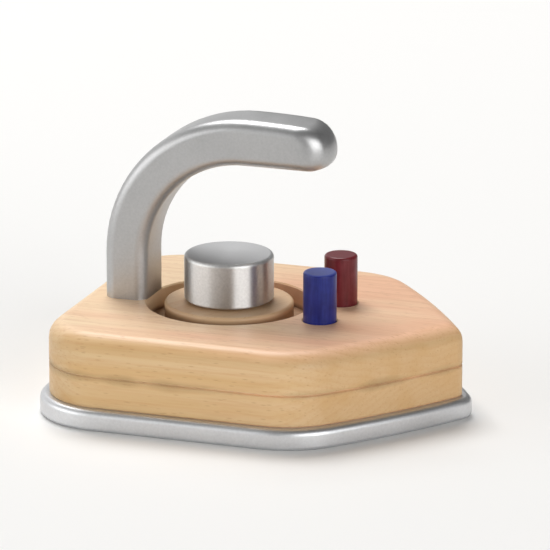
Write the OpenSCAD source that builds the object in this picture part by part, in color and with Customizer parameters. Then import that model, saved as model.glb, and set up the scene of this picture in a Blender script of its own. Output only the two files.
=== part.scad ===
// Wooden toy iron: a body of two glued boards on a painted soleplate, a cane-shaped handle,
// a dial that clicks round and two sprung push buttons.
// Millimetres. +X points to the nose, +Y to the left side and +Z up.
// The origin is the centre of the soleplate's underside.

/* [Soleplate] */
// Thickness of the soleplate
sole_t = 8; // [6:0.5:12]
// Lip that the soleplate shows all round the body
sole_lip = 3.6; // [2:0.2:7]
// Rounding of the soleplate's top edge
sole_edge_r = 2.5; // [1:0.25:3.5]
// Rounding of the soleplate's bottom edge
sole_under_r = 1.5; // [0.5:0.25:2.5]

/* [Body] */
// Length of the body from its flat rear to the tip of its nose
body_len = 150; // [144:1:170]
// Width of the body across its parallel sides
body_w = 120; // [112:1:136]
// Thickness of the body's lower board
lower_t = 12; // [11:0.5:18]
// Thickness of the body's upper board
upper_t = 16; // [15:0.5:20]
// Radius of the two rear corners in plan
rear_r = 24.5; // [15:0.5:35]
// Angle between the two sides at the tip of the nose, in degrees
nose_angle = 117; // [108:1:126]
// Radius of the gentle bow of each nose side
nose_side_r = 320; // [260:10:500]
// Radius of the shoulders where the sides turn into the nose
shoulder_r = 30; // [18:1:36]
// Radius of the tip of the nose in plan
tip_r = 6; // [4:0.5:10]
// Rounding of the body's top edge
body_edge_r = 7; // [3:0.5:9]
// Chamfer along the glued edges of both boards
seam_chamfer = 0.5; // [0.2:0.1:1]
// Chamfer round the recess and the button holes in the body's top
rim_chamfer = 0.5; // [0.2:0.1:1]

/* [Handle] */
// Thickness of the handle slab across the iron
handle_t = 22; // [20:0.5:26]
// Width of the handle's leg along the iron
leg_w = 16.8; // [14:0.2:20]
// Distance from the body's rear to the back of the leg
leg_inset = 10.8; // [9:0.2:14]
// Height of the handle above the body
handle_h = 73.4; // [70:0.2:90]
// Height of the grip bar
grip_t = 17.8; // [17:0.1:19]
// Distance from the back of the leg to the free end of the grip
grip_reach = 89; // [82:0.5:100]
// Radius of the bend on its outside
outer_bend_r = 56; // [48:0.5:63]
// Radius of the bend on its inside
inner_bend_r = 38.5; // [32:0.5:50]
// Radius of the gentle bow along the grip's top
crown_r = 300; // [200:10:600]
// Radius of the free end's upper corner seen from the side
grip_end_r = 9.5; // [8:0.25:10.25]
// Radius of the free end's lower corner seen from the side
grip_under_r = 6; // [5.1:0.1:6.5]
// Radius of the free end's rounding in plan
grip_plan_r = 10; // [6:0.5:10]
// Rounding of the slab's edges
handle_edge_r = 4.5; // [2:0.25:5]

/* [Dial] */
// Radius of the round recess in the top of the body
recess_r = 31.3; // [29:0.1:33]
// Depth of that recess
recess_depth = 8; // [6:0.25:9]
// Distance of the dial's axis ahead of the handle's leg
dial_ahead = 30; // [28:0.5:34]
// Radius of the wooden dial plate
dial_r = 24.5; // [22:0.5:27]
// Height of the dial plate above the body
dial_proud = 0.5; // [0.2:0.1:1.5]
// Rounding of the dial plate's top edge
dial_edge_r = 1.2; // [0.5:0.1:2]
// Radius of the knob
knob_r = 17; // [14:0.5:22]
// Height of the knob
knob_h = 17.5; // [14:0.5:22]
// Rounding of the knob's top edge
knob_edge_r = 1.5; // [0.5:0.1:3]
// Chamfer of the knob's lower edge
knob_chamfer = 0.6; // [0.2:0.1:1.5]
// Gap between the dial plate and the knob
knob_gap = 1; // [0.6:0.1:3]
// Radius of the wooden spindle
spindle_r = 5; // [4:0.25:6.5]
// Radius of the washers on the spindle
washer_r = 10; // [9:0.5:12]
// Thickness of the washers on the spindle
washer_t = 1; // [0.6:0.1:1.2]

/* [Click mechanism] */
// Radius of the notched click wheel
wheel_r = 17; // [15:0.5:18]
// Thickness of the click wheel
wheel_t = 5; // [4:0.25:5.5]
// Number of notches, one for each click
notch_count = 12; // [6:1:16]
// Radius of a notch
notch_r = 2.2; // [1.6:0.1:2.6]
// Thickness of the leaf spring
leaf_t = 0.6; // [0.4:0.1:0.8]
// Length of the leaf on the far side of its nose
leaf_free = 9; // [7:0.5:12]
// Length of the leaf from its nose to its fixed end
leaf_fixed = 13; // [11:0.5:14]
// Width of the leaf's screwed tab
tab_w = 6; // [5.5:0.25:7]
// Length of the leaf's screwed tab
tab_len = 7; // [6:0.25:8]

/* [Buttons] */
// Radius of a button
button_r = 6.3; // [5:0.1:7.5]
// Height of a button above the body
button_h = 19; // [14:0.5:24]
// Distance between the two buttons across the iron
button_pitch = 24.6; // [22:0.2:32]
// Distance of the buttons ahead of the dial
button_ahead = 40.5; // [40:0.5:46]
// Travel of a button when it is pressed
button_travel = 5; // [3:0.25:5.5]
// Rounding of a button's top edge
button_edge_r = 1; // [0.4:0.1:2]
// Width of the collar outside the button
collar_lip = 2; // [1.5:0.25:2.5]
// Thickness of the collar
collar_t = 2.5; // [2:0.25:3]
// Radius of the spigot under the button
spigot_r = 4; // [3:0.25:4.5]
// Length of the spigot below the collar
spigot_len = 2; // [1:0.25:2.5]
// Radius of the return spring's wire
wire_r = 0.4; // [0.3:0.05:0.5]
// Number of turns of the return spring
spring_turns = 4; // [3:0.5:5]

/* [Fasteners] */
// Shank radius of the soleplate screws
sole_screw_r = 1.75; // [1.25:0.25:2.25]
// Head radius of the soleplate screws
sole_head_r = 3.6; // [3.2:0.1:4.4]
// Depth that the soleplate screws reach into the body
sole_bite = 9; // [6:0.5:11]
// Shank radius of the handle screw
handle_screw_r = 2.25; // [1.75:0.25:2.5]
// Head radius of the handle screw
handle_head_r = 4.5; // [4:0.25:5.5]
// Depth that the handle screw reaches into the leg
handle_bite = 24; // [16:1:34]
// Radius of the two dowels in the handle's foot
dowel_r = 3; // [2:0.25:3.5]
// Distance between those dowels
dowel_pitch = 12; // [11.5:0.1:13]
// Depth that the dowels reach into the leg
dowel_leg_bite = 14; // [8:0.5:20]
// Depth that the dowels reach into the upper board
dowel_board_bite = 11; // [8:0.5:12]
// Shank radius of the spindle screw
spindle_screw_r = 1.5; // [1:0.25:2]
// Head radius of the spindle screw
spindle_head_r = 3.4; // [3:0.1:4.5]
// Height of the spindle screw's head
spindle_head_h = 2.2; // [1.6:0.1:2.6]
// Depth that the spindle screw reaches into the spindle
spindle_bite = 14; // [8:0.5:18]
// Shank radius of the click spring's screw
tab_screw_r = 1.2; // [0.8:0.1:1.5]
// Head radius of the click spring's screw
tab_head_r = 2.4; // [2:0.1:2.6]
// Height of that screw's head
tab_head_h = 1.8; // [1.2:0.1:2]

/* [Hidden] */
$fn = 48;

// Clearances: running fits, glued fits, faces that rub, screws in their holes
run_gap = 0.08;
glue_gap = 0.05;
rub_gap = 0.1;
screw_gap = 0.05;
// Room at the blind end of a glued hole, round a collar, round the spigot, under the spindle screw
end_gap = 0.5;
collar_gap = 0.5;
coil_gap = 0.4;
head_room = 1.2;
// Room round the click spring in its pocket, and of its nose in a notch
pocket_gap = 1;
nose_gap = 0.3;
// Wood left over the click spring's screw
web_skin = 1.5;
// Travel left in a return spring when its button is pressed
spring_spare = 2.2;
// Depth of the pocket and the wells in the underside of the upper board
under_depth = 3.5;
// Wood left over the spindle in the knob
knob_crown = 5;
// Depth that a countersunk head lies below its surface
sink = 0.4;
// Overrun of a cut, and the least radius of a corner that is drawn in
over = 1;
least_r = 0.3;

// Steps along each arc of the outlines, each rounded edge and each turn of a spring
tip_steps = 4;
nose_steps = 6;
shoulder_steps = 9;
rear_steps = 12;
edge_steps = 7;
bend_steps = 22;
crown_steps = 4;
end_steps = 8;
across_steps = 6;
turn_steps = 12;
wire_sides = 6;

// Places of the soleplate screws, as shares of the body's length and width
sole_screw_shares = [[-0.36, 0.32], [-0.36, -0.32], [0.2, 0.3], [0.2, -0.3]];
// Cross recess of a screw head, as shares of the head's radius
cross_len_share = 0.62;
cross_w_share = 0.2;
cross_depth_share = 0.35;

// Levels from the bottom up
seam_z = sole_t + lower_t;
ceiling_z = seam_z + under_depth;
top_z = seam_z + upper_t;
recess_z = top_z - recess_depth;
plate_low = recess_z + rub_gap + washer_t;
plate_top = top_z + dial_proud;
knob_low = plate_top + knob_gap;
wheel_top = ceiling_z - rub_gap;
wheel_low = wheel_top - wheel_t;
head_top = wheel_low - washer_t;
pocket_low = head_top - spindle_head_h - head_room;
collar_top = ceiling_z - rub_gap;
collar_low = collar_top - collar_t;
well_low = collar_low - button_travel - 2 * wire_r * spring_turns - spring_spare;
grip_top = top_z + handle_h;
grip_low = grip_top - grip_t;
spindle_top = knob_low + knob_h - knob_crown - end_gap;

// Places along the iron
body_rear = -body_len / 2;
leg_back = body_rear + leg_inset;
leg_front = leg_back + leg_w;
leg_x = (leg_back + leg_front) / 2;
grip_end = leg_back + grip_reach;
dial_x = leg_front + dial_ahead;
button_x = dial_x + button_ahead;
button_y = button_pitch / 2;

// Click spring, in plan from the dial's axis
nose_r = notch_r - nose_gap;
leaf_in = wheel_r + nose_r - leaf_t;
leaf_out = wheel_r + nose_r;
tab_out = leaf_out + tab_w;
tab_x = -(leaf_out + tab_w / 2);
tab_y = leaf_fixed - tab_len / 2;
pocket_r = norm([tab_out, max(leaf_fixed, leaf_free)]) + pocket_gap;
tab_bite = recess_z - ceiling_z - web_skin;

// Buttons and their springs
collar_r = button_r + collar_lip;
well_r = collar_r + collar_gap;
coil_r = spigot_r + coil_gap + wire_r;

// Centre of the bow of the left nose side
tip_normal = 90 - nose_angle / 2;
nose_c = [body_len / 2 - tip_r - (nose_side_r - tip_r) * cos(tip_normal),
          -(nose_side_r - tip_r) * sin(tip_normal)];
shoulder_normal = asin((body_w / 2 - shoulder_r - nose_c.y) / (nose_side_r - shoulder_r));

// Points of an arc about c with radius r, from angle a0 to angle a1
function arc(c, r, a0, a1, steps, first = 0) =
    [for (i = [first:steps])
        let (a = a0 + (a1 - a0) * i / steps)
        c + r * [cos(a), sin(a)]];

// Left half of the body's plan from the tip to the rear, drawn in by inset
function half_plan(inset) =
    let (tip = max(tip_r - inset, least_r),
         side = nose_side_r - inset,
         a_tip = asin(-nose_c.y / (side - tip)),
         tip_c = [nose_c.x + (side - tip) * cos(a_tip), 0],
         shoulder_c = nose_c + (nose_side_r - shoulder_r) * [cos(shoulder_normal), sin(shoulder_normal)],
         rear_c = [body_rear + rear_r, body_w / 2 - rear_r])
    concat(
        arc(tip_c, tip, 0, a_tip, tip_steps),
        arc(nose_c, side, a_tip, shoulder_normal, nose_steps, 1),
        arc(shoulder_c, shoulder_r - inset, shoulder_normal, 90, shoulder_steps, 1),
        arc(rear_c, rear_r - inset, 90, 180, rear_steps));

// The whole plan, counter-clockwise from the tip
function plan(inset) =
    let (left = half_plan(inset))
    concat(left, [for (i = [len(left) - 1:-1:1]) [left[i].x, -left[i].y]]);

// Side view of the handle, counter-clockwise from the front of its foot, drawn in by inset,
// with the free end drawn back by back. The foot stays on the body's top.
function handle_side(inset, back) =
    let (end_r = grip_end_r - inset,
         under_r = grip_under_r - inset,
         inner_c = [leg_front + inner_bend_r, grip_low - inner_bend_r],
         outer_c = [leg_back + outer_bend_r, grip_top - outer_bend_r],
         crown_c = [outer_c.x, grip_top - crown_r],
         lean = asin((grip_end - back - end_r - crown_c.x) / (crown_r - grip_end_r)),
         end_c = crown_c + (crown_r - grip_end_r) * [sin(lean), cos(lean)],
         under_c = [grip_end - back - under_r, grip_low + grip_under_r])
    concat(
        [[leg_front - inset, top_z]],
        arc(inner_c, inner_bend_r + inset, 180, 90, bend_steps),
        arc(under_c, under_r, -90, 0, end_steps),
        arc(end_c, end_r, 0, 90 - lean, end_steps),
        arc(crown_c, crown_r - inset, 90 - lean, 90, crown_steps, 1),
        arc(outer_c, outer_bend_r - inset, 90, 180, bend_steps, 1),
        [[leg_back + inset, top_z]]);

// Distance that the free end is drawn back at y across the slab
function end_back(y) =
    let (out = max(abs(y) - handle_t / 2 + grip_plan_r, 0))
    grip_plan_r - sqrt(max(grip_plan_r * grip_plan_r - out * out, 0));

// Levels of a quarter-round edge of radius r under a face at z, as [inset, level]
function round_levels(r, z) =
    [for (i = [0:edge_steps])
        let (a = 90 * i / edge_steps)
        [r * (1 - cos(a)), z - r * (1 - sin(a))]];

// Levels of such an edge over a face at z, which comes first
function under_levels(r, z) =
    [for (i = [edge_steps:-1:0])
        let (a = 90 * i / edge_steps)
        [r * (1 - cos(a)), z + r * (1 - sin(a))]];

// Triangles that close a ring of n points, as rungs between the points counted from both ends
function cap(n) =
    [for (i = [0:floor(n / 2) - 1])
        let (a = i, b = i + 1, c = n - i - 2, d = n - i - 1)
        each concat(
            b < c ? [[a, b, c]] : [],
            a < c ? [[a, c, d]] : [])];

// Solid through rings of equally many points, counter-clockwise and from the bottom up
module loft(rings) {
    n = len(rings[0]);
    last = (len(rings) - 1) * n;
    walls = [for (j = [0:len(rings) - 2], i = [0:n - 1])
        let (a = j * n + i, b = j * n + (i + 1) % n)
        each [[a, a + n, b + n], [a, b + n, b]]];
    polyhedron(
        points = [for (ring = rings) each ring],
        faces = concat(
            cap(n),
            walls,
            [for (t = cap(n)) [last + t[2], last + t[1], last + t[0]]]),
        convexity = 6);
}

// Board with the body's plan through the given [inset, level] pairs
module board(levels) {
    loft([for (l = levels) [for (p = plan(l[0])) [p.x, p.y, l[1]]]]);
}

// Upright cylinder whose top edge is rounded
module turned(r, h, edge) {
    rotate_extrude()
        difference() {
            square([r, h]);
            translate([r - edge, h - edge])
                difference() {
                    square(edge + over);
                    circle(edge);
                }
        }
}

// Flat ring standing on z = 0
module ring(r, bore_r, t) {
    difference() {
        cylinder(h = t, r = r);
        translate([0, 0, -over])
            cylinder(h = t + 2 * over, r = bore_r);
    }
}

// Cut that chamfers the rim of a round hole in a face at z = 0
module eased_rim(r) {
    translate([0, 0, -rim_chamfer])
        cylinder(h = rim_chamfer + over, r1 = r, r2 = r + rim_chamfer + over);
}

// Cross recess cut down from z = 0
module cross_recess(head_r) {
    for (a = [0, 90])
        rotate(a)
            translate([0, 0, -head_r * cross_depth_share / 2])
                cube([2 * head_r * cross_len_share, 2 * head_r * cross_w_share,
                      head_r * cross_depth_share], center = true);
}

// Countersunk screw with its head's face at z = 0 and its point up
module countersunk_screw(head_r, r, len) {
    difference() {
        union() {
            cylinder(h = head_r - r, r1 = head_r, r2 = r);
            cylinder(h = len - 2 * r, r = r);
            translate([0, 0, len - 2 * r])
                cylinder(h = 2 * r, r1 = r, r2 = r / 4);
        }
        mirror([0, 0, 1])
            cross_recess(head_r);
    }
}

// Hole for that screw, with its mouth at z = 0
module countersunk_hole(head_r, r, len) {
    translate([0, 0, -over])
        cylinder(h = over + sink, r = head_r + screw_gap);
    translate([0, 0, sink])
        cylinder(h = head_r - r, r1 = head_r + screw_gap, r2 = r + screw_gap);
    cylinder(h = sink + len + end_gap, r = r + screw_gap);
}

// Pan-head screw with its head's seat at z = 0 and its point up
module pan_screw(head_r, head_h, r, len) {
    difference() {
        union() {
            mirror([0, 0, 1])
                turned(head_r, head_h, head_h / 2);
            cylinder(h = len - 2 * r, r = r);
            translate([0, 0, len - 2 * r])
                cylinder(h = 2 * r, r1 = r, r2 = r / 4);
        }
        translate([0, 0, -head_h])
            mirror([0, 0, 1])
                cross_recess(head_r);
    }
}

// Puts its children at each soleplate screw, on the soleplate's underside
module at_sole_screws() {
    for (s = sole_screw_shares)
        translate([s.x * body_len, s.y * body_w, 0])
            children();
}

// Puts its children at each handle dowel, on the body's top
module at_dowels() {
    for (side = [-1, 1])
        translate([leg_x, side * dowel_pitch / 2, top_z])
            children();
}

// Puts its children on a button's axis: side 1 is the left button, -1 the right one
module at_button(side) {
    translate([button_x, side * button_y, 0])
        children();
}

// Painted base board with rounded edges and four countersunk holes
module soleplate() {
    levels = concat(under_levels(sole_under_r, 0), round_levels(sole_edge_r, sole_t));
    color("silver")
        difference() {
            board([for (l = levels) [l[0] - sole_lip, l[1]]]);
            at_sole_screws()
                countersunk_hole(sole_head_r, sole_screw_r, sole_t + sole_bite);
        }
}

module soleplate_screws() {
    color("gainsboro")
        at_sole_screws()
            translate([0, 0, sink])
                countersunk_screw(sole_head_r, sole_screw_r, sole_t + sole_bite - sink);
}

// Lower board with the pocket of the click wheel, the wells of the springs and the screw holes
module lower_body() {
    color("burlywood")
        difference() {
            board([
                [seam_chamfer, sole_t], [0, sole_t + seam_chamfer],
                [0, seam_z - seam_chamfer], [seam_chamfer, seam_z]]);
            at_sole_screws()
                cylinder(h = sole_t + sole_bite + end_gap, r = sole_screw_r + screw_gap);
            translate([dial_x, 0, pocket_low])
                cylinder(h = seam_z - pocket_low + over, r = pocket_r);
            for (side = [-1, 1])
                at_button(side)
                    translate([0, 0, well_low])
                        cylinder(h = seam_z - well_low + over, r = well_r);
            translate([leg_x, 0, sole_t])
                countersunk_hole(handle_head_r, handle_screw_r, lower_t);
        }
}

// Upper board with its rounded edge, the dial's recess and bearing, and the buttons' guides
module upper_body() {
    color("wheat")
        difference() {
            board(concat(
                [[seam_chamfer, seam_z], [0, seam_z + seam_chamfer]],
                round_levels(body_edge_r, top_z)));
            translate([dial_x, 0, recess_z])
                cylinder(h = recess_depth + over, r = recess_r);
            translate([dial_x, 0, top_z])
                eased_rim(recess_r);
            translate([dial_x, 0, seam_z - over])
                cylinder(h = over + under_depth, r = pocket_r);
            translate([dial_x, 0, seam_z])
                cylinder(h = upper_t, r = spindle_r + run_gap);
            translate([dial_x + tab_x, tab_y, seam_z])
                cylinder(h = under_depth + tab_bite + end_gap, r = tab_screw_r + screw_gap);
            for (side = [-1, 1])
                at_button(side) {
                    translate([0, 0, seam_z - over]) {
                        cylinder(h = over + under_depth, r = well_r);
                        cylinder(h = upper_t + 2 * over, r = button_r + run_gap);
                    }
                    translate([0, 0, top_z])
                        eased_rim(button_r + run_gap);
                }
            translate([leg_x, 0, seam_z - over])
                cylinder(h = upper_t + 2 * over, r = handle_screw_r + screw_gap);
            at_dowels()
                translate([0, 0, -dowel_board_bite - end_gap])
                    cylinder(h = dowel_board_bite + end_gap + over, r = dowel_r + glue_gap);
        }
}

// Slab bent like a cane, with every edge rounded but the foot's
module handle() {
    flat = handle_t / 2 - handle_edge_r;
    levels = concat(
        under_levels(handle_edge_r, -handle_t / 2),
        [for (i = [1:across_steps - 1]) [0, flat * (2 * i / across_steps - 1)]],
        round_levels(handle_edge_r, handle_t / 2));
    color("silver")
        difference() {
            rotate([90, 0, 0])
                loft([for (l = levels)
                    [for (p = handle_side(l[0], end_back(l[1]))) [p.x, p.y, l[1]]]]);
            at_dowels()
                translate([0, 0, -over])
                    cylinder(h = over + dowel_leg_bite + end_gap, r = dowel_r + glue_gap);
            translate([leg_x, 0, top_z - over])
                cylinder(h = over + handle_bite + end_gap, r = handle_screw_r + screw_gap);
        }
}

module handle_dowels() {
    color("tan")
        at_dowels()
            translate([0, 0, -dowel_board_bite])
                cylinder(h = dowel_board_bite + dowel_leg_bite, r = dowel_r);
}

module handle_screw() {
    color("gainsboro")
        translate([leg_x, 0, sole_t + sink])
            countersunk_screw(handle_head_r, handle_screw_r, lower_t + upper_t + handle_bite - sink);
}

// Wooden disc that turns in the recess
module dial_plate() {
    color("wheat")
        translate([dial_x, 0, plate_low])
            difference() {
                turned(dial_r, plate_top - plate_low, dial_edge_r);
                translate([0, 0, -over])
                    cylinder(h = plate_top - plate_low + 2 * over, r = spindle_r + glue_gap);
            }
}

// Turned knob with a blind hole for the spindle
module knob() {
    color("silver")
        translate([dial_x, 0, knob_low])
            difference() {
                union() {
                    cylinder(h = knob_chamfer, r1 = knob_r - knob_chamfer, r2 = knob_r);
                    translate([0, 0, knob_chamfer])
                        turned(knob_r, knob_h - knob_chamfer, knob_edge_r);
                }
                translate([0, 0, -over])
                    cylinder(h = over + knob_h - knob_crown, r = spindle_r + glue_gap);
            }
}

module knob_spacer() {
    color("dimgray")
        translate([dial_x, 0, plate_top])
            ring(washer_r, spindle_r + glue_gap, knob_gap);
}

// Dowel from the click wheel up into the knob, drilled from below for its screw
module dial_spindle() {
    color("tan")
        translate([dial_x, 0, wheel_low])
            difference() {
                cylinder(h = spindle_top - wheel_low, r = spindle_r);
                translate([0, 0, -over])
                    cylinder(h = over + spindle_bite + end_gap, r = spindle_screw_r + screw_gap);
            }
}

module thrust_washer() {
    color("ivory")
        translate([dial_x, 0, recess_z + rub_gap])
            ring(washer_r, spindle_r + glue_gap, washer_t);
}

// Wheel with one notch for each click, the first of them at the click spring's nose
module click_wheel() {
    color("ivory")
        translate([dial_x, 0, wheel_low])
            difference() {
                ring(wheel_r, spindle_r + glue_gap, wheel_t);
                for (i = [0:notch_count - 1])
                    rotate(180 + i * 360 / notch_count)
                        translate([wheel_r, 0, -over])
                            cylinder(h = wheel_t + 2 * over, r = notch_r);
            }
}

module spindle_washer() {
    color("gainsboro")
        translate([dial_x, 0, wheel_low - washer_t])
            ring(washer_r, spindle_screw_r + screw_gap, washer_t);
}

module spindle_screw() {
    color("gainsboro")
        translate([dial_x, 0, head_top])
            pan_screw(spindle_head_r, spindle_head_h, spindle_screw_r, washer_t + spindle_bite);
}

// Leaf on edge beside the click wheel, bowed into a notch, with a bent tab screwed under the upper board
module click_spring() {
    color("lightsteelblue")
        translate([dial_x, 0, 0])
            difference() {
                union() {
                    translate([0, 0, wheel_low])
                        linear_extrude(wheel_t)
                            difference() {
                                union() {
                                    translate([-leaf_out, -leaf_free])
                                        square([leaf_t, leaf_free + leaf_fixed]);
                                    translate([-wheel_r, 0])
                                        circle(nose_r);
                                }
                                translate([-wheel_r, 0])
                                    circle(nose_r - leaf_t);
                                translate([-leaf_out - over, leaf_t - nose_r])
                                    square([over + nose_r, 2 * (nose_r - leaf_t)]);
                            }
                    translate([-tab_out, leaf_fixed - tab_len, ceiling_z - leaf_t])
                        cube([tab_out - leaf_in, tab_len, leaf_t]);
                }
                translate([tab_x, tab_y, ceiling_z - leaf_t - over])
                    cylinder(h = leaf_t + 2 * over, r = tab_screw_r + screw_gap);
            }
}

module click_spring_screw() {
    color("gainsboro")
        translate([dial_x + tab_x, tab_y, ceiling_z - leaf_t])
            pan_screw(tab_head_r, tab_head_h, tab_screw_r, leaf_t + tab_bite);
}

// Round button with a spigot below for its collar and spring
module button(side) {
    at_button(side)
        union() {
            translate([0, 0, collar_top])
                turned(button_r, top_z + button_h - collar_top, button_edge_r);
            translate([0, 0, collar_low - spigot_len])
                cylinder(h = collar_top - collar_low + spigot_len, r = spigot_r);
        }
}

// Ring on the spigot that keeps the button from coming out
module collar(side) {
    at_button(side)
        translate([0, 0, collar_low])
            ring(collar_r, spigot_r + glue_gap, collar_t);
}

// Coil between the well's floor and the collar
module return_spring(side) {
    low = well_low + rub_gap + wire_r;
    high = collar_low - rub_gap - wire_r;
    steps = spring_turns * turn_steps;
    at_button(side)
        loft([for (i = [0:steps])
            let (a = 360 * i / turn_steps, z = low + (high - low) * i / steps)
            [for (k = [0:wire_sides - 1])
                let (b = -360 * k / wire_sides, r = coil_r + wire_r * cos(b))
                [r * cos(a), r * sin(a), z + wire_r * sin(b)]]]);
}

module blue_button() {
    color("midnightblue")
        button(-1);
}

module blue_collar() {
    color("ivory")
        collar(-1);
}

module blue_spring() {
    color("lightsteelblue")
        return_spring(-1);
}

module red_button() {
    color("maroon")
        button(1);
}

module red_collar() {
    color("ivory")
        collar(1);
}

module red_spring() {
    color("lightsteelblue")
        return_spring(1);
}

soleplate();
soleplate_screws();
lower_body();
upper_body();
handle();
handle_dowels();
handle_screw();
dial_plate();
knob();
knob_spacer();
dial_spindle();
thrust_washer();
click_wheel();
spindle_washer();
spindle_screw();
click_spring();
click_spring_screw();
blue_button();
blue_collar();
blue_spring();
red_button();
red_collar();
red_spring();
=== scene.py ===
import math
import bpy
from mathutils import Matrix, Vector


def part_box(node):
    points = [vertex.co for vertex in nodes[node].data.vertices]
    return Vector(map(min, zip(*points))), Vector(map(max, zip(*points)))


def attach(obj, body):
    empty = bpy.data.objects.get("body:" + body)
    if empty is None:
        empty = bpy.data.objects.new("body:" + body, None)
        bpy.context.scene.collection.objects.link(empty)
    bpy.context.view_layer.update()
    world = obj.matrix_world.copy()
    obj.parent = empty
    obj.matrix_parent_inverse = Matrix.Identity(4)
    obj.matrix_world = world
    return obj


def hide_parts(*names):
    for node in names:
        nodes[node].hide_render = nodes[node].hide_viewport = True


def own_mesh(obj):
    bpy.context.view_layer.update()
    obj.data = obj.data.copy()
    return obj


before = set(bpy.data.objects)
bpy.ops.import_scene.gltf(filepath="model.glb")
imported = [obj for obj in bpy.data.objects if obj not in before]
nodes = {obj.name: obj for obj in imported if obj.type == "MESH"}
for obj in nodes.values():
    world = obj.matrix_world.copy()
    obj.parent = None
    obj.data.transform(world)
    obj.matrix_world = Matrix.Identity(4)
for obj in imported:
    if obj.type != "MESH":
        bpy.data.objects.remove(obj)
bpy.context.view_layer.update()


# Soleplate
# A flat wooden board with the outline of the body and a lip all round, rounded over along its top
# edge, sanded and sprayed silver. Four screws hold it to the body from below.

mm = 0.001              # the frame is in metres, the sizes of the finishes are in millimetres


def linear(hex_colour):
    """Linear RGBA of an sRGB hex colour."""
    channels = [int(hex_colour[i:i + 2], 16) / 255 for i in (1, 3, 5)]
    return [c / 12.92 if c <= 0.04045 else ((c + 0.055) / 1.055) ** 2.4 for c in channels] + [1.0]


def add(tree, kind, inputs, **settings):
    """Adds a node with its settings. Each input is a plain value or the output that feeds it. A Mix of
    colours takes them at its sockets 6 and 7 and gives the result at 2."""
    node = tree.nodes.new(kind)
    for name, value in settings.items():
        setattr(node, name, value)
    for key, value in inputs.items():
        if isinstance(value, bpy.types.NodeSocket):
            tree.links.new(value, node.inputs[key])
        else:
            node.inputs[key].default_value = value
    return node


def finish_of(name, sockets):
    """A material with one shader, its values that are the same all over set straight on the sockets."""
    material = bpy.data.materials.new(name)
    material.use_nodes = True
    shader = material.node_tree.nodes["Principled BSDF"]
    for socket, value in sockets.items():
        shader.inputs[socket].default_value = value
    return material, material.node_tree, shader


def wear(node_name, material):
    """Gives a CAD node that finish all over."""
    mesh = nodes[node_name].data
    mesh.materials.clear()
    mesh.materials.append(material)


def silver_lacquer(name, dark, light, fibre):
    """Aluminium-flake lacquer, sprayed on sanded wood and left satin. The flakes give a soft metal gleam,
    the spray a faint orange peel, and the wood's raised grain just shows through. dark and light are the
    colours of its clouds, and fibre holds the sizes of a wood fibre along each axis in mm."""
    material, tree, shader = finish_of(name, {"Metallic": 0.85})
    flake = 0.9             # clusters of flakes: one flake, 0.03 mm, is too fine to show
    peel = 1.6
    cloud = 22.0
    satin = (0.35, 0.43)    # roughness where the spray lay wet, and where it lay dry
    grain_height = 0.05
    peel_height = 0.04
    place = add(tree, "ShaderNodeTexCoord", {}).outputs["Object"]
    in_mm = add(tree, "ShaderNodeVectorMath", {0: place, "Scale": 1 / mm}, operation="SCALE").outputs[0]
    along = add(tree, "ShaderNodeVectorMath", {
        0: in_mm, 1: [1 / size for size in fibre],
    }, operation="MULTIPLY").outputs[0]
    flakes, clouds, skin, grain = [
        add(tree, "ShaderNodeTexNoise", {"Vector": at, "Scale": 1 / size, "Detail": detail}).outputs["Fac"]
        for at, size, detail in (
            (in_mm, flake, 2.0),
            (in_mm, cloud, 3.0),
            (in_mm, peel, 1.0),
            (along, 1.0, 3.0),
        )
    ]
    tone = add(tree, "ShaderNodeMath", {0: flakes, 1: clouds}, operation="ADD").outputs[0]
    shade = add(tree, "ShaderNodeMapRange", {
        "Value": tone, "From Min": 0.7, "From Max": 1.3,
    }).outputs["Result"]
    colour = add(tree, "ShaderNodeMix", {
        "Factor": shade, 6: linear(dark), 7: linear(light),
    }, data_type="RGBA").outputs[2]
    gloss = add(tree, "ShaderNodeMapRange", {
        "Value": clouds, "From Min": 0.3, "From Max": 0.7, "To Min": satin[0], "To Max": satin[1],
    }).outputs["Result"]
    grained = add(tree, "ShaderNodeBump", {
        "Height": grain, "Strength": 0.15, "Distance": grain_height * mm,
    }).outputs[0]
    peeled = add(tree, "ShaderNodeBump", {
        "Height": skin, "Strength": 0.12, "Distance": peel_height * mm, "Normal": grained,
    }).outputs[0]
    tree.links.new(colour, shader.inputs["Base Color"])
    tree.links.new(gloss, shader.inputs["Roughness"])
    tree.links.new(peeled, shader.inputs["Normal"])
    return material


# The CAD nodes come as facets. Their edges sharper than this crease stay sharp, and the rest is shaded as
# the smooth surface that the facets stand for.
crease = math.radians(32)
weld = 0.001 * mm
flat_face_weight = 90
loft_shading = bpy.data.node_groups.new("loft_shading", "GeometryNodeTree")
loft_shading.interface.new_socket("Geometry", in_out="INPUT", socket_type="NodeSocketGeometry")
loft_shading.interface.new_socket("Geometry", in_out="OUTPUT", socket_type="NodeSocketGeometry")
loft_in = add(loft_shading, "NodeGroupInput", {}).outputs[0]
loft_joined = add(loft_shading, "GeometryNodeMergeByDistance", {
    "Geometry": loft_in, "Distance": weld,
}).outputs[0]
loft_angle = add(loft_shading, "GeometryNodeInputMeshEdgeAngle", {}).outputs[0]
loft_sharp = add(loft_shading, "FunctionNodeCompare", {
    0: loft_angle, 1: crease,
}, operation="GREATER_THAN").outputs[0]
loft_normal = add(loft_shading, "GeometryNodeSetMeshNormal", {
    "Mesh": loft_joined,
    "Remove Custom": True,
    "Edge Sharpness": loft_sharp,
    "Face Sharpness": False,
}, mode="SHARPNESS").outputs[0]
add(loft_shading, "NodeGroupOutput", {0: loft_normal})


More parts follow.
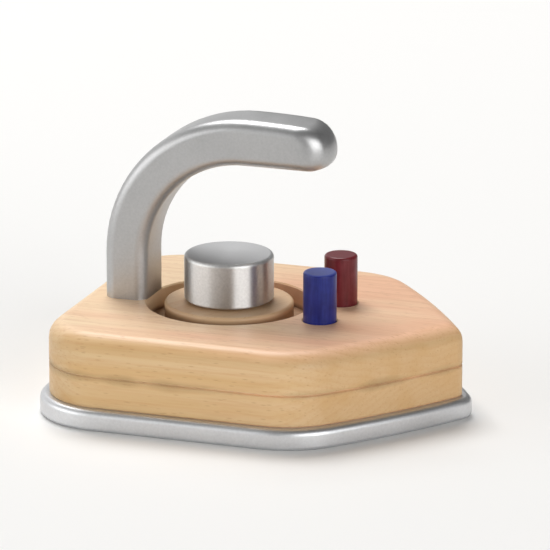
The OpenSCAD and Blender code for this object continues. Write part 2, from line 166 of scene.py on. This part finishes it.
def even_out(node_name):
    """Shades the facets of a CAD node smoothly, with its large flat faces kept flat."""
    piece = nodes[node_name]
    evened = piece.modifiers.new("evened", "NODES")
    evened.node_group = loft_shading
    weighted = piece.modifiers.new("weighted", "WEIGHTED_NORMAL")
    weighted.keep_sharp = True
    weighted.mode = "FACE_AREA_WITH_ANGLE"
    weighted.weight = flat_face_weight


wear("soleplate", silver_lacquer("silver_lacquer_on_soleplate", "#CBCCCE", "#D6D7D9", (24, 0.9, 0.9)))
even_out("soleplate")


# Soleplate screws
# Four wood screws of zinc-plated steel. They are driven up through the soleplate into the lower board,
# and their countersunk heads are sunk a little into the sole.

def plated_steel(name, dark, light, roughness):
    """Bright zinc or drawn steel: a cold metal with faint cloudy stains, duller where they are dark."""
    material, tree, shader = finish_of(name, {"Metallic": 1.0})
    stain = 2.5
    dulling = 0.1
    place = add(tree, "ShaderNodeTexCoord", {}).outputs["Object"]
    clouds = add(tree, "ShaderNodeTexNoise", {
        "Vector": place, "Scale": 1 / (stain * mm), "Detail": 4.0,
    }).outputs["Fac"]
    colour = add(tree, "ShaderNodeMix", {
        "Factor": clouds, 6: linear(dark), 7: linear(light),
    }, data_type="RGBA").outputs[2]
    gloss = add(tree, "ShaderNodeMapRange", {
        "Value": clouds, "To Min": roughness + dulling, "To Max": roughness,
    }).outputs["Result"]
    tree.links.new(colour, shader.inputs["Base Color"])
    tree.links.new(gloss, shader.inputs["Roughness"])
    return material


zinc = plated_steel("zinc_plated_steel", "#B9BDC2", "#D9DBDA", 0.25)
wear("soleplate_screws", zinc)


# Body boards
# Two boards of pale beech, sawn along the grain and glued face to face. The upper one is rounded over
# along its top edge and bored for the dial and the buttons. Sanded and clear varnished.

def beech(name, tones, pith, turn=0.0, seam=None, recess_light_and_shade=None):
    """Steamed beech under clear varnish: pinkish tan with faint growth rings, fine fibres and the short
    dark flecks of its rays. tones are its paler and its warmer colour on a face and its colour on an
    upright edge, pith is where the middle of the tree lay in mm, and turn the angle of the grain from +X
    in plan. seam is the height in mm of a glue line that stains the wood. recess_light_and_shade is where a
    hole saw went: its wall is painted paler there, a painted light, and brown is painted on from a depth
    down, a painted shade. It holds its middle in plan, its radius, the heights where the painted shade
    begins and is full, all in mm, and its strength."""
    material, tree, shader = finish_of(name, {
        "IOR": 1.5, "Specular IOR Level": 0.3, "Coat Weight": 0.05, "Coat Roughness": 0.25,
    })
    ring_gap = 2.6
    fibre = (16.0, 0.8, 0.8)
    ray = (6.0, 1.3, 1.3)       # twice as wide as real rays, which are too fine to show
    patch = (90.0, 26.0, 26.0)
    band = (130.0, 8.0, 8.0)
    trunk = (20.0, 1.0, 1.0)    # the rings are drawn out along the grain, as a trunk is
    drift = 0.0035              # per mm: a board is a little warmer towards one end
    fibre_height = 0.05
    varnish = (0.36, 0.48)      # roughness between the fibres, and on them
    place = add(tree, "ShaderNodeTexCoord", {})
    in_mm = add(tree, "ShaderNodeVectorMath", {
        0: place.outputs["Object"], "Scale": 1 / mm,
    }, operation="SCALE").outputs[0]
    lie = add(tree, "ShaderNodeVectorRotate", {
        "Vector": in_mm, "Angle": -turn,
    }, rotation_type="Z_AXIS").outputs[0]
    from_pith = add(tree, "ShaderNodeVectorMath", {0: lie, 1: pith}, operation="SUBTRACT").outputs[0]

    # The figure of the wood
    by_trunk, by_fibre, by_ray, by_patch, by_band = [
        add(tree, "ShaderNodeVectorMath", {
            0: from_pith, 1: [1 / side for side in size],
        }, operation="MULTIPLY").outputs[0]
        for size in (trunk, fibre, ray, patch, band)
    ]
    rings = add(tree, "ShaderNodeTexWave", {
        "Vector": by_trunk,
        "Scale": 2 * math.pi / 20 / ring_gap,       # the wave turns 20 radians in a unit at scale 1
        "Distortion": 7.0,
        "Detail": 3.0,
        "Detail Scale": 0.55,
    }, wave_type="RINGS", rings_direction="X", wave_profile="SAW").outputs["Fac"]
    rays = add(tree, "ShaderNodeTexVoronoi", {"Vector": by_ray, "Scale": 1.0}).outputs["Distance"]
    fibres, patches, bands = [
        add(tree, "ShaderNodeTexNoise", {"Vector": at, "Scale": 1.0, "Detail": detail}).outputs["Fac"]
        for at, detail in ((by_fibre, 4.0), (by_patch, 2.0), (by_band, 1.0))
    ]

    # Faces, which vary from paler to warmer, and edges, with broad ochre bands along the sides
    facing = add(tree, "ShaderNodeSeparateXYZ", {0: place.outputs["Normal"]})
    end, flank, level = [
        add(tree, "ShaderNodeMath", {0: facing.outputs[axis]}, operation="ABSOLUTE").outputs[0]
        for axis in "XYZ"
    ]
    down_board = add(tree, "ShaderNodeSeparateXYZ", {0: lie}).outputs["X"]
    warmth = add(tree, "ShaderNodeMath", {
        0: down_board, 1: drift, 2: patches,
    }, operation="MULTIPLY_ADD").outputs[0]
    tint = add(tree, "ShaderNodeMapRange", {
        "Value": warmth, "From Min": 0.32, "From Max": 0.62,
    }).outputs["Result"]
    face = add(tree, "ShaderNodeMix", {
        "Factor": tint, 6: linear(tones[0]), 7: linear(tones[1]),
    }, data_type="RGBA").outputs[2]
    upright = add(tree, "ShaderNodeMapRange", {
        "Value": level, "From Min": 0.97, "From Max": 0.4, "To Max": 0.85,
    }).outputs["Result"]
    streak = add(tree, "ShaderNodeMapRange", {
        "Value": bands, "From Min": 0.42, "From Max": 0.7, "To Max": 0.55,
    }).outputs["Result"]
    along_side = add(tree, "ShaderNodeMapRange", {
        "Value": flank, "From Min": 0.3, "From Max": 0.85,
    }).outputs["Result"]
    side_band = add(tree, "ShaderNodeMath", {0: streak, 1: along_side}, operation="MULTIPLY").outputs[0]

    # Late wood, fibres, rays and thirsty end grain: where each begins to show, where it is full, its share
    late, thread, fleck, end_grain_and_painted_top = [
        add(tree, "ShaderNodeMapRange", {
            "Value": figure, "From Min": begins, "From Max": full, "To Max": share,
        }).outputs["Result"]
        for figure, begins, full, share in (
            (rings, 0.45, 1.0, 0.2),
            (fibres, 0.5, 0.8, 0.35),
            (rays, 0.24, 0.08, 0.3),
            (end, 0.3, 1.0, 0.42),
        )
    ]
    layers = [
        (upright, linear(tones[2])),
        (side_band, linear("#CFA05F")),
        (late, linear("#D09A68")),
        (thread, linear("#C88F5E")),
        (fleck, linear("#A86F45")),
        (end_grain_and_painted_top, linear("#BE9058")),
    ]

    if seam is not None:
        squeeze = 26.0          # the length of a patch where glue was squeezed out
        stained = (3.2, 0.3)    # how far from the line the stain begins, and where it is full
        dry_patch = 2.4         # how much nearer it begins where little glue came out
        height = add(tree, "ShaderNodeSeparateXYZ", {0: in_mm}).outputs["Z"]
        above = add(tree, "ShaderNodeMath", {0: height, 1: seam}, operation="SUBTRACT").outputs[0]
        away = add(tree, "ShaderNodeMath", {0: above}, operation="ABSOLUTE").outputs[0]
        blotch = add(tree, "ShaderNodeTexNoise", {
            "Vector": in_mm, "Scale": 1 / squeeze, "Detail": 1.0,
        }).outputs["Fac"]
        dry = add(tree, "ShaderNodeMapRange", {
            "Value": blotch, "From Min": 0.38, "From Max": 0.62, "To Max": dry_patch,
        }).outputs["Result"]
        ragged = add(tree, "ShaderNodeMath", {0: away, 1: dry}, operation="ADD").outputs[0]
        stain = add(tree, "ShaderNodeMapRange", {
            "Value": ragged, "From Min": stained[0], "From Max": stained[1], "To Max": 0.48,
        }).outputs["Result"]
        layers.append((stain, linear("#82663A")))

    # Within the cut the upright wall is painted paler, a painted light, and brown is painted on deeper
    # down, a painted shade of the recess.
    if recess_light_and_shade is not None:
        middle, radius, shade_begins, shade_full, strength = recess_light_and_shade
        outward = add(tree, "ShaderNodeVectorMath", {
            0: in_mm, 1: (*middle, 0),
        }, operation="SUBTRACT").outputs[0]
        in_plan = add(tree, "ShaderNodeVectorMath", {
            0: outward, 1: (1, 1, 0),
        }, operation="MULTIPLY").outputs[0]
        out = add(tree, "ShaderNodeVectorMath", {0: in_plan}, operation="LENGTH").outputs["Value"]
        within = add(tree, "ShaderNodeMath", {0: out, 1: radius}, operation="LESS_THAN").outputs[0]
        painted_wall_light = add(tree, "ShaderNodeMath", {0: within, 1: upright}, operation="MULTIPLY").outputs[0]
        rise = add(tree, "ShaderNodeSeparateXYZ", {0: in_mm}).outputs["Z"]
        under = add(tree, "ShaderNodeMapRange", {
            "Value": rise, "From Min": shade_begins, "From Max": shade_full, "To Max": strength,
        }).outputs["Result"]
        painted_recess_shade = add(tree, "ShaderNodeMath", {0: within, 1: under}, operation="MULTIPLY").outputs[0]
        layers.append((painted_wall_light, face))
        layers.append((painted_recess_shade, linear("#6A472C")))

    colour = face
    for cover, over in layers:
        colour = add(tree, "ShaderNodeMix", {
            "Factor": cover, 6: colour, 7: over,
        }, data_type="RGBA").outputs[2]
    gloss = add(tree, "ShaderNodeMapRange", {
        "Value": fibres, "From Min": 0.3, "From Max": 0.7, "To Min": varnish[0], "To Max": varnish[1],
    }).outputs["Result"]
    sanded = add(tree, "ShaderNodeBump", {
        "Height": fibres, "Strength": 0.3, "Distance": fibre_height * mm,
    }).outputs[0]
    tree.links.new(colour, shader.inputs["Base Color"])
    tree.links.new(gloss, shader.inputs["Roughness"])
    tree.links.new(sanded, shader.inputs["Normal"])
    return material


steamed = ("#FBDDB7", "#F8C6A3", "#DBBD8D")
glue_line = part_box("lower_body")[1].z / mm
wear("lower_body", beech("varnished_beech_lower_board", steamed, (0, 18, -64), seam=glue_line))

plate_low, plate_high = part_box("dial_plate")
dial_middle = ((plate_low.x + plate_high.x) / 2 / mm, (plate_low.y + plate_high.y) / 2 / mm)
plate_r = (plate_high.x - plate_low.x) / 2 / mm
board_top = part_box("upper_body")[1].z / mm
# The wall of the dial's recess is painted paler than other edges, a painted light, and browner towards its
# floor, a painted shade.
past_wall = 7.0             # from the dial plate's rim to just behind the wall of its recess
wall_shade_depths = (6.0, 7.8)     # depths at which the painted shade begins, and is full
wall_shade_strength = 0.7
recess_wall_light_and_shade = (
    dial_middle, plate_r + past_wall, board_top - wall_shade_depths[0], board_top - wall_shade_depths[1], wall_shade_strength)
wear("upper_body", beech(
    "varnished_beech_upper_board", steamed, (0, -10, 118), seam=glue_line, recess_light_and_shade=recess_wall_light_and_shade))
for board in ("lower_body", "upper_body"):
    even_out(board)


# Handle
# A slab of wood sawn like a cane and rounded over along every edge but its foot, sprayed with the same
# silver, here painted darker than on the soleplate, a painted shade. Two beech dowels and a long screw
# from below fix its foot to the upper board.

# The handle's silver is darker than the soleplate's, a painted shade.
wear("handle", silver_lacquer("shaded_silver_lacquer_on_handle", "#ACACAC", "#B7B7B7", (20, 1.1, 1.1)))
even_out("handle")
dowel_wood = beech("bare_beech_dowel", steamed, (0, 4, -20))
wear("handle_dowels", dowel_wood)
wear("handle_screw", zinc)


# Dial
# A beech disc that turns in its recess on a dowel spindle. Below it a nylon wheel, held by a screw and a
# washer, clicks round past a leaf of spring steel, and nylon washers keep the wood from rubbing.

def moulded_nylon(name, base, pale):
    """Injection-moulded nylon: a matt, slightly waxy plastic with a fine spark-eroded grain."""
    material, tree, shader = finish_of(name, {"IOR": 1.53, "Roughness": 0.5})
    grain = 0.7             # coarser than a real mould's 0.1 mm, so that it shows
    grain_height = 0.03
    place = add(tree, "ShaderNodeTexCoord", {}).outputs["Object"]
    speck = add(tree, "ShaderNodeTexNoise", {
        "Vector": place, "Scale": 1 / (grain * mm), "Detail": 2.0,
    }).outputs["Fac"]
    colour = add(tree, "ShaderNodeMix", {
        "Factor": speck, 6: linear(base), 7: linear(pale),
    }, data_type="RGBA").outputs[2]
    rough = add(tree, "ShaderNodeBump", {
        "Height": speck, "Strength": 0.3, "Distance": grain_height * mm,
    }).outputs[0]
    tree.links.new(colour, shader.inputs["Base Color"])
    tree.links.new(rough, shader.inputs["Normal"])
    return material


# The dial plate gets darker, greyer tones than the boards, a painted shade. Its side is painted paler, a
# painted light, and browner from just below its top, a painted shade.
plate_tones_in_shade = ("#E2C29C", "#DAB48E", "#CFA87A")
plate_grain = math.radians(62)
plate_top = plate_high.z / mm
past_rim = 1.0              # so that the disc's whole rim lies within the cut
rim_shade_depths = (1.2, 2.6)      # depths at which the painted shade begins, and is full
rim_shade_strength = 0.6
plate_rim_light_and_shade = (
    dial_middle, plate_r + past_rim, plate_top - rim_shade_depths[0], plate_top - rim_shade_depths[1], rim_shade_strength)
wear("dial_plate", beech(
    "varnished_beech_dial_plate", plate_tones_in_shade, (0, 6, 90), turn=plate_grain, recess_light_and_shade=plate_rim_light_and_shade))
wear("dial_spindle", dowel_wood)
white_nylon = moulded_nylon("white_nylon", "#E2DFD3", "#EFEDE4")
for part in ("thrust_washer", "click_wheel"):
    wear(part, white_nylon)
wear("knob_spacer", moulded_nylon("dark_nylon", "#2A2724", "#38342F"))
for part in ("spindle_washer", "spindle_screw", "click_spring_screw"):
    wear(part, zinc)
spring_steel = plated_steel("drawn_spring_steel", "#8F949A", "#B2B6BA", 0.3)
wear("click_spring", spring_steel)


# Knob
# A short cylinder of wood turned on a lathe and sprayed silver. The tool's fine rings stay under the
# lacquer, so the gleam is drawn out into upright streaks.

def turned_silver_lacquer(name, dark, light, top, axis):
    """The same aluminium-flake lacquer over lathe-turned wood, duller on the top, and painted darker there,
    a painted shade. top is its colour there, and axis the lathe's axis in plan, in mm."""
    material, tree, shader = finish_of(name, {"Metallic": 0.92, "Anisotropic Rotation": 0.25})
    ring = 0.8              # the tool's feed, drawn about twice as coarse as it is
    ring_height = 0.03
    flake = 0.9             # clusters of flakes, as on the soleplate
    drawing = (0.95, 0.1)   # how far the rings draw out the gleam, on the side and on the top
    satin = (0.42, 0.5)     # roughness on the side, and on the top
    place = add(tree, "ShaderNodeTexCoord", {})
    in_mm = add(tree, "ShaderNodeVectorMath", {
        0: place.outputs["Object"], "Scale": 1 / mm,
    }, operation="SCALE").outputs[0]
    off_axis = add(tree, "ShaderNodeVectorMath", {0: in_mm, 1: axis}, operation="SUBTRACT").outputs[0]
    in_plan = add(tree, "ShaderNodeVectorMath", {
        0: off_axis, 1: (1, 1, 0),
    }, operation="MULTIPLY").outputs[0]
    out = add(tree, "ShaderNodeVectorMath", {0: in_plan}, operation="LENGTH").outputs["Value"]
    up = add(tree, "ShaderNodeSeparateXYZ", {0: off_axis}).outputs["Z"]
    tool_path = add(tree, "ShaderNodeMath", {0: out, 1: up}, operation="ADD").outputs[0]
    turns = add(tree, "ShaderNodeTexNoise", {
        "W": tool_path, "Scale": 1 / ring, "Detail": 2.0,
    }, noise_dimensions="1D").outputs["Fac"]
    flakes = add(tree, "ShaderNodeTexNoise", {
        "Vector": in_mm, "Scale": 1 / flake, "Detail": 2.0,
    }).outputs["Fac"]
    tone = add(tree, "ShaderNodeMapRange", {
        "Value": flakes, "From Min": 0.3, "From Max": 0.7,
    }).outputs["Result"]
    sprayed = add(tree, "ShaderNodeMix", {
        "Factor": tone, 6: linear(dark), 7: linear(light),
    }, data_type="RGBA").outputs[2]
    upward = add(tree, "ShaderNodeSeparateXYZ", {0: place.outputs["Normal"]}).outputs["Z"]
    streak = add(tree, "ShaderNodeMapRange", {
        "Value": upward, "To Min": drawing[0], "To Max": drawing[1],
    }).outputs["Result"]
    gloss = add(tree, "ShaderNodeMapRange", {
        "Value": upward, "To Min": satin[0], "To Max": satin[1],
    }).outputs["Result"]
    # The top is painted darker than the side, a painted shade.
    end_grain_and_painted_top = add(tree, "ShaderNodeMapRange", {
        "Value": upward, "From Min": 0.8, "To Max": 0.85,
    }).outputs["Result"]
    colour = add(tree, "ShaderNodeMix", {
        "Factor": end_grain_and_painted_top, 6: sprayed, 7: linear(top),
    }, data_type="RGBA").outputs[2]
    grooved = add(tree, "ShaderNodeBump", {
        "Height": turns, "Strength": 0.2, "Distance": ring_height * mm,
    }).outputs[0]
    round_axis = add(tree, "ShaderNodeTangent", {}, direction_type="RADIAL", axis="Z").outputs[0]
    tree.links.new(colour, shader.inputs["Base Color"])
    tree.links.new(gloss, shader.inputs["Roughness"])
    tree.links.new(streak, shader.inputs["Anisotropic"])
    tree.links.new(round_axis, shader.inputs["Tangent"])
    tree.links.new(grooved, shader.inputs["Normal"])
    return material


knob_low, knob_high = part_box("knob")
lathe_axis = ((knob_low.x + knob_high.x) / 2 / mm, (knob_low.y + knob_high.y) / 2 / mm, 0)
wear("knob", turned_silver_lacquer("silver_lacquer_on_knob", "#D2D2D1", "#DEDEDD", "#ACACAD", lathe_axis))


# Buttons
# Two short lengths of dowel, one dipped in blue enamel and one in dark red, that slide in their holes.
# A nylon collar round the lower end of each keeps it from coming out.

def enamel(name, deep, bright, lit_top):
    """Oil enamel on dowel: a deep even colour with a satin gloss, thinner and paler in places where the
    dowel's grain stands up. lit_top is its paler colour on the top, a painted light."""
    material, tree, shader = finish_of(name, {
        "IOR": 1.5, "Specular IOR Level": 0.25, "Coat Weight": 0.1, "Coat Roughness": 0.12,
    })
    fibre = (0.7, 0.7, 9.0)
    fibre_height = 0.05
    cloud = 5.0
    satin = (0.26, 0.42)    # roughness where the enamel lies thick, and where it lies thin
    place = add(tree, "ShaderNodeTexCoord", {})
    in_mm = add(tree, "ShaderNodeVectorMath", {
        0: place.outputs["Object"], "Scale": 1 / mm,
    }, operation="SCALE").outputs[0]
    along = add(tree, "ShaderNodeVectorMath", {
        0: in_mm, 1: [1 / size for size in fibre],
    }, operation="MULTIPLY").outputs[0]
    fibres, clouds = [
        add(tree, "ShaderNodeTexNoise", {"Vector": at, "Scale": 1 / size, "Detail": detail}).outputs["Fac"]
        for at, size, detail in ((along, 1.0, 3.0), (in_mm, cloud, 2.0))
    ]
    both = add(tree, "ShaderNodeMath", {0: fibres, 1: clouds}, operation="ADD").outputs[0]
    thin = add(tree, "ShaderNodeMapRange", {
        "Value": both, "From Min": 0.75, "From Max": 1.3,
    }).outputs["Result"]
    painted = add(tree, "ShaderNodeMix", {
        "Factor": thin, 6: linear(deep), 7: linear(bright),
    }, data_type="RGBA").outputs[2]
    upward = add(tree, "ShaderNodeSeparateXYZ", {0: place.outputs["Normal"]}).outputs["Z"]
    # The top is painted paler than the side, a painted light.
    painted_top_light = add(tree, "ShaderNodeMapRange", {
        "Value": upward, "From Min": 0.5, "To Max": 0.8,
    }).outputs["Result"]
    colour = add(tree, "ShaderNodeMix", {
        "Factor": painted_top_light, 6: painted, 7: linear(lit_top),
    }, data_type="RGBA").outputs[2]
    gloss = add(tree, "ShaderNodeMapRange", {
        "Value": clouds, "To Min": satin[0], "To Max": satin[1],
    }).outputs["Result"]
    raised = add(tree, "ShaderNodeBump", {
        "Height": fibres, "Strength": 0.25, "Distance": fibre_height * mm,
    }).outputs[0]
    tree.links.new(colour, shader.inputs["Base Color"])
    tree.links.new(gloss, shader.inputs["Roughness"])
    tree.links.new(raised, shader.inputs["Normal"])
    return material


wear("blue_button", enamel("blue_enamel", "#1A2168", "#252F83", "#6E7BD2"))
wear("red_button", enamel("dark_red_enamel", "#611B21", "#772C32", "#6E252B"))
for collar in ("blue_collar", "red_collar"):
    wear(collar, white_nylon)


# Return springs
# Under each button a coil of spring wire with closed ends stands on the floor of its well. It pushes the
# button back up, and shortens as the button goes down.

wire_r = 0.4 * mm
coil_turns = 4
closing = 0.9           # how much flatter the end turns lie than an even coil
turn_steps = 40
wire_sides = 10
coil_steps = coil_turns * turn_steps
for button in ("blue", "red"):
    low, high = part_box(button + "_spring")
    foot = Vector(((low.x + high.x) / 2, (low.y + high.y) / 2, low.z))
    coil_r = (high.x - low.x) / 2 - wire_r
    climb = high.z - low.z - 2 * wire_r
    points = []
    for step in range(coil_steps + 1):
        share = step / coil_steps
        turned = 2 * math.pi * step / turn_steps
        height = wire_r + climb * (share - closing * math.sin(2 * math.pi * share) / (2 * math.pi))
        for side in range(wire_sides):
            about = 2 * math.pi * side / wire_sides
            reach = coil_r + wire_r * math.cos(about)
            points.append(foot + Vector((
                reach * math.cos(turned),
                reach * math.sin(turned),
                height + wire_r * math.sin(about),
            )))
    faces = [list(range(wire_sides))[::-1], list(range(len(points) - wire_sides, len(points)))]
    for step in range(coil_steps):
        near = step * wire_sides
        far = near + wire_sides
        for side in range(wire_sides):
            after = (side + 1) % wire_sides
            faces.append((near + side, far + side, far + after, near + after))
    coil_mesh = bpy.data.meshes.new(button + "_return_coil")
    coil_mesh.from_pydata(points, [], faces)
    coil_mesh.polygons.foreach_set("use_smooth", [len(face) == 4 for face in faces])
    coil_mesh.materials.append(spring_steel)
    coil = bpy.data.objects.new(button + "_return_coil", coil_mesh)
    bpy.context.scene.collection.objects.link(coil)
    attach(coil, "iron")
    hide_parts(button + "_spring")
    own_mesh(coil)


# Studio
# A pale paper floor, a soft key lamp high up behind on the left, which gives most of the light and drops
# the shadows forward, two wide low lamps on the left and the right, whose gleams the metal lacquer shows,
# and a long lens in front. All of it is in metres.

floor_reach = 6.0
floor_drop = 0.0001     # so that the floor doesn't lie in the plane of the sole
floor_mesh = bpy.data.meshes.new("floor")
floor_mesh.from_pydata(
    [(x * floor_reach, y * floor_reach, -floor_drop) for x, y in ((-1, -1), (1, -1), (1, 1), (-1, 1))],
    [], [(0, 1, 2, 3)])
floor = bpy.data.objects.new("floor", floor_mesh)
bpy.context.scene.collection.objects.link(floor)
floor_mesh.materials.append(finish_of("pale_paper", {"Base Color": linear("#F8F7F5"), "Roughness": 0.9})[0])

# The room is light on the left and dims to the right and towards the ceiling. Metal mirrors it in full, it
# fills the shadows at a part of that, and the camera sees it pale.
bright_side = (-0.985, -0.174, 0.0)
wall_light = (0.15, 0.95)
ceiling_light = 0.4
fill_share = 0.54
backdrop_light = 0.95
world = bpy.data.worlds.new("studio")
world.use_nodes = True
room = world.node_tree
sky = room.nodes["Background"]
sky.inputs["Color"].default_value = linear("#FFFFFF")
look = add(room, "ShaderNodeTexCoord", {}).outputs["Generated"]
toward = add(room, "ShaderNodeVectorMath", {
    0: look, 1: bright_side,
}, operation="DOT_PRODUCT").outputs["Value"]
walls = add(room, "ShaderNodeMapRange", {
    "Value": toward, "From Min": 0.0, "From Max": 0.5, "To Min": wall_light[0], "To Max": wall_light[1],
}).outputs["Result"]
rise = add(room, "ShaderNodeSeparateXYZ", {0: look}).outputs["Z"]
ceiling = add(room, "ShaderNodeMapRange", {
    "Value": rise, "From Min": 0.35, "From Max": 0.7, "To Min": 1.0, "To Max": ceiling_light,
}).outputs["Result"]
graded = add(room, "ShaderNodeMath", {0: walls, 1: ceiling}, operation="MULTIPLY").outputs[0]
fill = add(room, "ShaderNodeMath", {0: graded, 1: fill_share}, operation="MULTIPLY").outputs[0]
path = add(room, "ShaderNodeLightPath", {})
mirrored = add(room, "ShaderNodeMix", {
    "Factor": path.outputs["Is Glossy Ray"], 2: fill, 3: graded,
}).outputs[0]
seen = add(room, "ShaderNodeMix", {
    "Factor": path.outputs["Is Camera Ray"], 2: mirrored, 3: backdrop_light,
}).outputs[0]
room.links.new(seen, sky.inputs["Strength"])
bpy.context.scene.world = world


def softbox(name, place, aim, width, height, share):
    """An area lamp that lights a white surface facing it to that share of full white: from far enough away,
    its power gives such a surface a radiance of power / (pi * distance) ** 2."""
    lamp = bpy.data.lights.new(name, "AREA")
    lamp.shape = "RECTANGLE"
    lamp.size = width
    lamp.size_y = height
    way = Vector(aim) - Vector(place)
    lamp.energy = share * math.pi ** 2 * way.length_squared
    stand = bpy.data.objects.new(name, lamp)
    stand.location = place
    stand.visible_camera = False
    stand.rotation_euler = way.to_track_quat("-Z", "Y").to_euler()
    bpy.context.scene.collection.objects.link(stand)


lamp_aim = (0.0, 0.0, 0.04)
softbox("high_softbox", (-1.0, 1.25, 3.05), lamp_aim, 1.9, 1.6, 0.86)
softbox("left_softbox", (-2.34, -1.45, 0.72), lamp_aim, 3.06, 1.29, 0.26)
softbox("right_softbox", (2.21, -1.67, 0.82), lamp_aim, 2.21, 1.62, 0.53)

# The camera's place, aim and lens are fitted to the photograph's viewing angle.
camera = bpy.data.objects.new("camera", bpy.data.cameras.new("camera"))
camera.location = (0.631, -1.7997, 0.6086)
view_aim = Vector((0.001, 0.0, 0.048))
camera.rotation_euler = (view_aim - camera.location).to_track_quat("-Z", "Y").to_euler()
camera.data.sensor_width = 36
camera.data.lens = 345
bpy.context.scene.collection.objects.link(camera)
bpy.context.scene.camera = camera
bpy.context.scene.view_settings.view_transform = "Standard"
